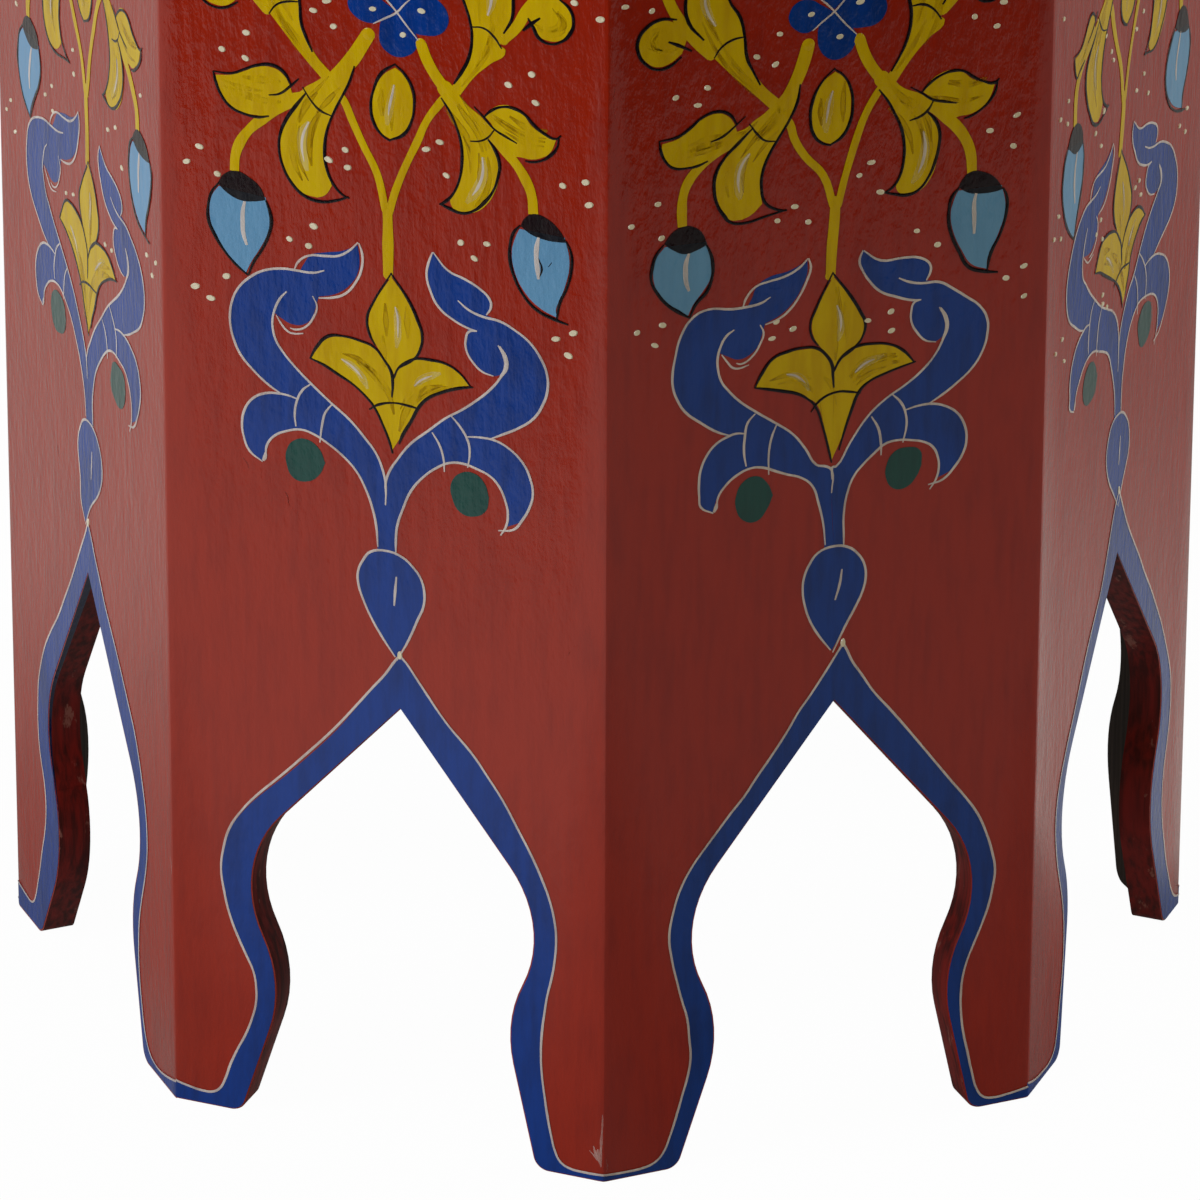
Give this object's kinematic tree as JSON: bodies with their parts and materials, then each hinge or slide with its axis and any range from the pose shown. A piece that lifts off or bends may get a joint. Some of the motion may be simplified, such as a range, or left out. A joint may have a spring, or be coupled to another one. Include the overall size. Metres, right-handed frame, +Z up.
{
  "type": "octagonal side table",
  "caption": "Eight-sided painted wooden side table on arched panel feet, with a glued plank top and a mitred edge moulding.",
  "frame": {"origin": "on the floor, in the middle of the eight feet", "axes": "+Z up, -Y out of the front panel, +X to the right of someone who looks at the front panel"},
  "size_m": [0.43, 0.43, 0.58],
  "materials": {
    "painted_panel": "red gloss paint with painted flowers, varnished",
    "painted_top": "red gloss paint with painted flowers, varnished",
    "painted_moulding": "blue gloss paint with a cream line, varnished",
    "inner_wood": "stained, unvarnished",
    "steel": "bright wire and cut plate"
  },
  "bodies": {
    "root": {"side_panel_right": "painted_panel", "side_panel_back_right": "painted_panel", "side_panel_back": "painted_panel", "side_panel_back_left": "painted_panel", "side_panel_left": "painted_panel", "side_panel_front_left": "painted_panel", "side_panel_front": "painted_panel", "side_panel_front_right": "painted_panel", "top_cleat_right": "inner_wood", "top_cleat_back_right": "inner_wood", "top_cleat_back": "inner_wood", "top_cleat_back_left": "inner_wood", "top_cleat_left": "inner_wood", "top_cleat_front_left": "inner_wood", "top_cleat_front": "inner_wood", "top_cleat_front_right": "inner_wood", "corner_block_right": "inner_wood", "corner_block_back_right": "inner_wood", "corner_block_back": "inner_wood", "corner_block_back_left": "inner_wood", "corner_block_left": "inner_wood", "corner_block_front_left": "inner_wood", "corner_block_front": "inner_wood", "corner_block_front_right": "inner_wood", "edge_moulding_right": "painted_moulding", "edge_moulding_back_right": "painted_moulding", "edge_moulding_back": "painted_moulding", "edge_moulding_back_left": "painted_moulding", "edge_moulding_left": "painted_moulding", "edge_moulding_front_left": "painted_moulding", "edge_moulding_front": "painted_moulding", "edge_moulding_front_right": "painted_moulding", "top_plank_1": "painted_top", "top_plank_2": "painted_top", "top_plank_3": "painted_top", "top_plank_4": "painted_top", "top_batten_left": "inner_wood", "top_batten_right": "inner_wood", "corner_brads": "steel", "cleat_brads": "steel", "cleat_nails": "steel", "moulding_brads": "steel", "batten_nails": "steel"}
  },
  "joints": []
}
